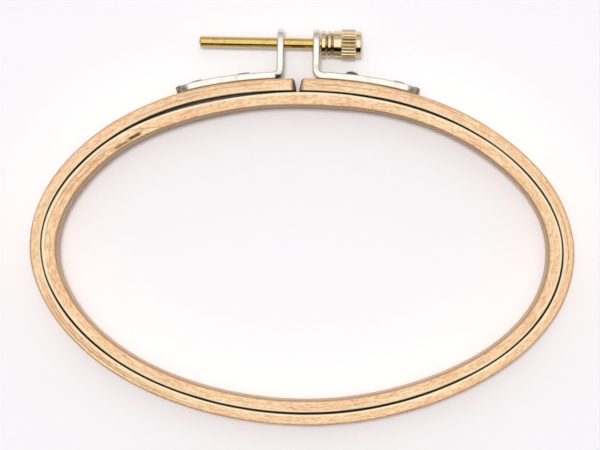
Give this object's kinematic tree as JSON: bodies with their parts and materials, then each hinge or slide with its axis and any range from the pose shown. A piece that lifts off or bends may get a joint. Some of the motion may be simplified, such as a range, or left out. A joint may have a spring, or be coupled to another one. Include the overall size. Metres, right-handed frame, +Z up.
{
  "type": "oval embroidery hoop",
  "caption": "Oval wooden embroidery hoop: split outer hoop, closed inner hoop and a brass thumb screw through two riveted brackets.",
  "frame": {"origin": "middle of the object's footprint at the underside of the hoops", "axes": "+X along the oval's length towards the knob, +Y across it towards the screw, +Z up along the hoops' axis"},
  "size_m": [0.1404, 0.1024, 0.01],
  "materials": {
    "hoop_wood": "sanded beech, unvarnished",
    "bracket_steel": "bright plated strip",
    "rivet_steel": "hammered, slightly tarnished",
    "screw_brass": "turned, polished"
  },
  "bodies": {
    "outer_hoop": {"outer_hoop": "hoop_wood", "left_bracket": "bracket_steel", "left_rivet_near": "rivet_steel", "left_rivet_far": "rivet_steel"},
    "inner_hoop": {"inner_hoop": "hoop_wood"},
    "right_bracket": {"right_bracket": "bracket_steel", "right_rivet_near": "rivet_steel", "right_rivet_far": "rivet_steel"},
    "washer": {"washer": "screw_brass"},
    "thumb_screw": {"screw_rod": "screw_brass", "knob": "screw_brass"}
  },
  "joints": [
    {"name": "screw_turn", "type": "hinge", "parent": "washer", "child": "thumb_screw", "pos_m": [0.00358, 0.0474, 0.005], "axis": [1, 0, 0], "range_deg": [-1080, 3600]},
    {"name": "screw_travel", "type": "slide", "parent": "outer_hoop", "child": "washer", "axis": [1, 0, 0], "range_m": [-0.0015, 0.005]},
    {"name": "hoop_opening", "type": "hinge", "parent": "outer_hoop", "child": "right_bracket", "pos_m": [-0.00195, -0.04965, 0.005], "axis": [0, 0, -1], "range_deg": [-0.89, 2.95], "deforming": ["outer_hoop"]},
    {"name": "lift_out", "type": "slide", "parent": "outer_hoop", "child": "inner_hoop", "axis": [0, 0, 1], "range_m": [0, 0.015]}
  ],
  "couplings": [
    {"joint": "screw_travel", "follows": "hoop_opening", "m_per_rad": 0.09705},
    {"joint": "screw_turn", "follows": "hoop_opening", "ratio": 1219.6}
  ]
}
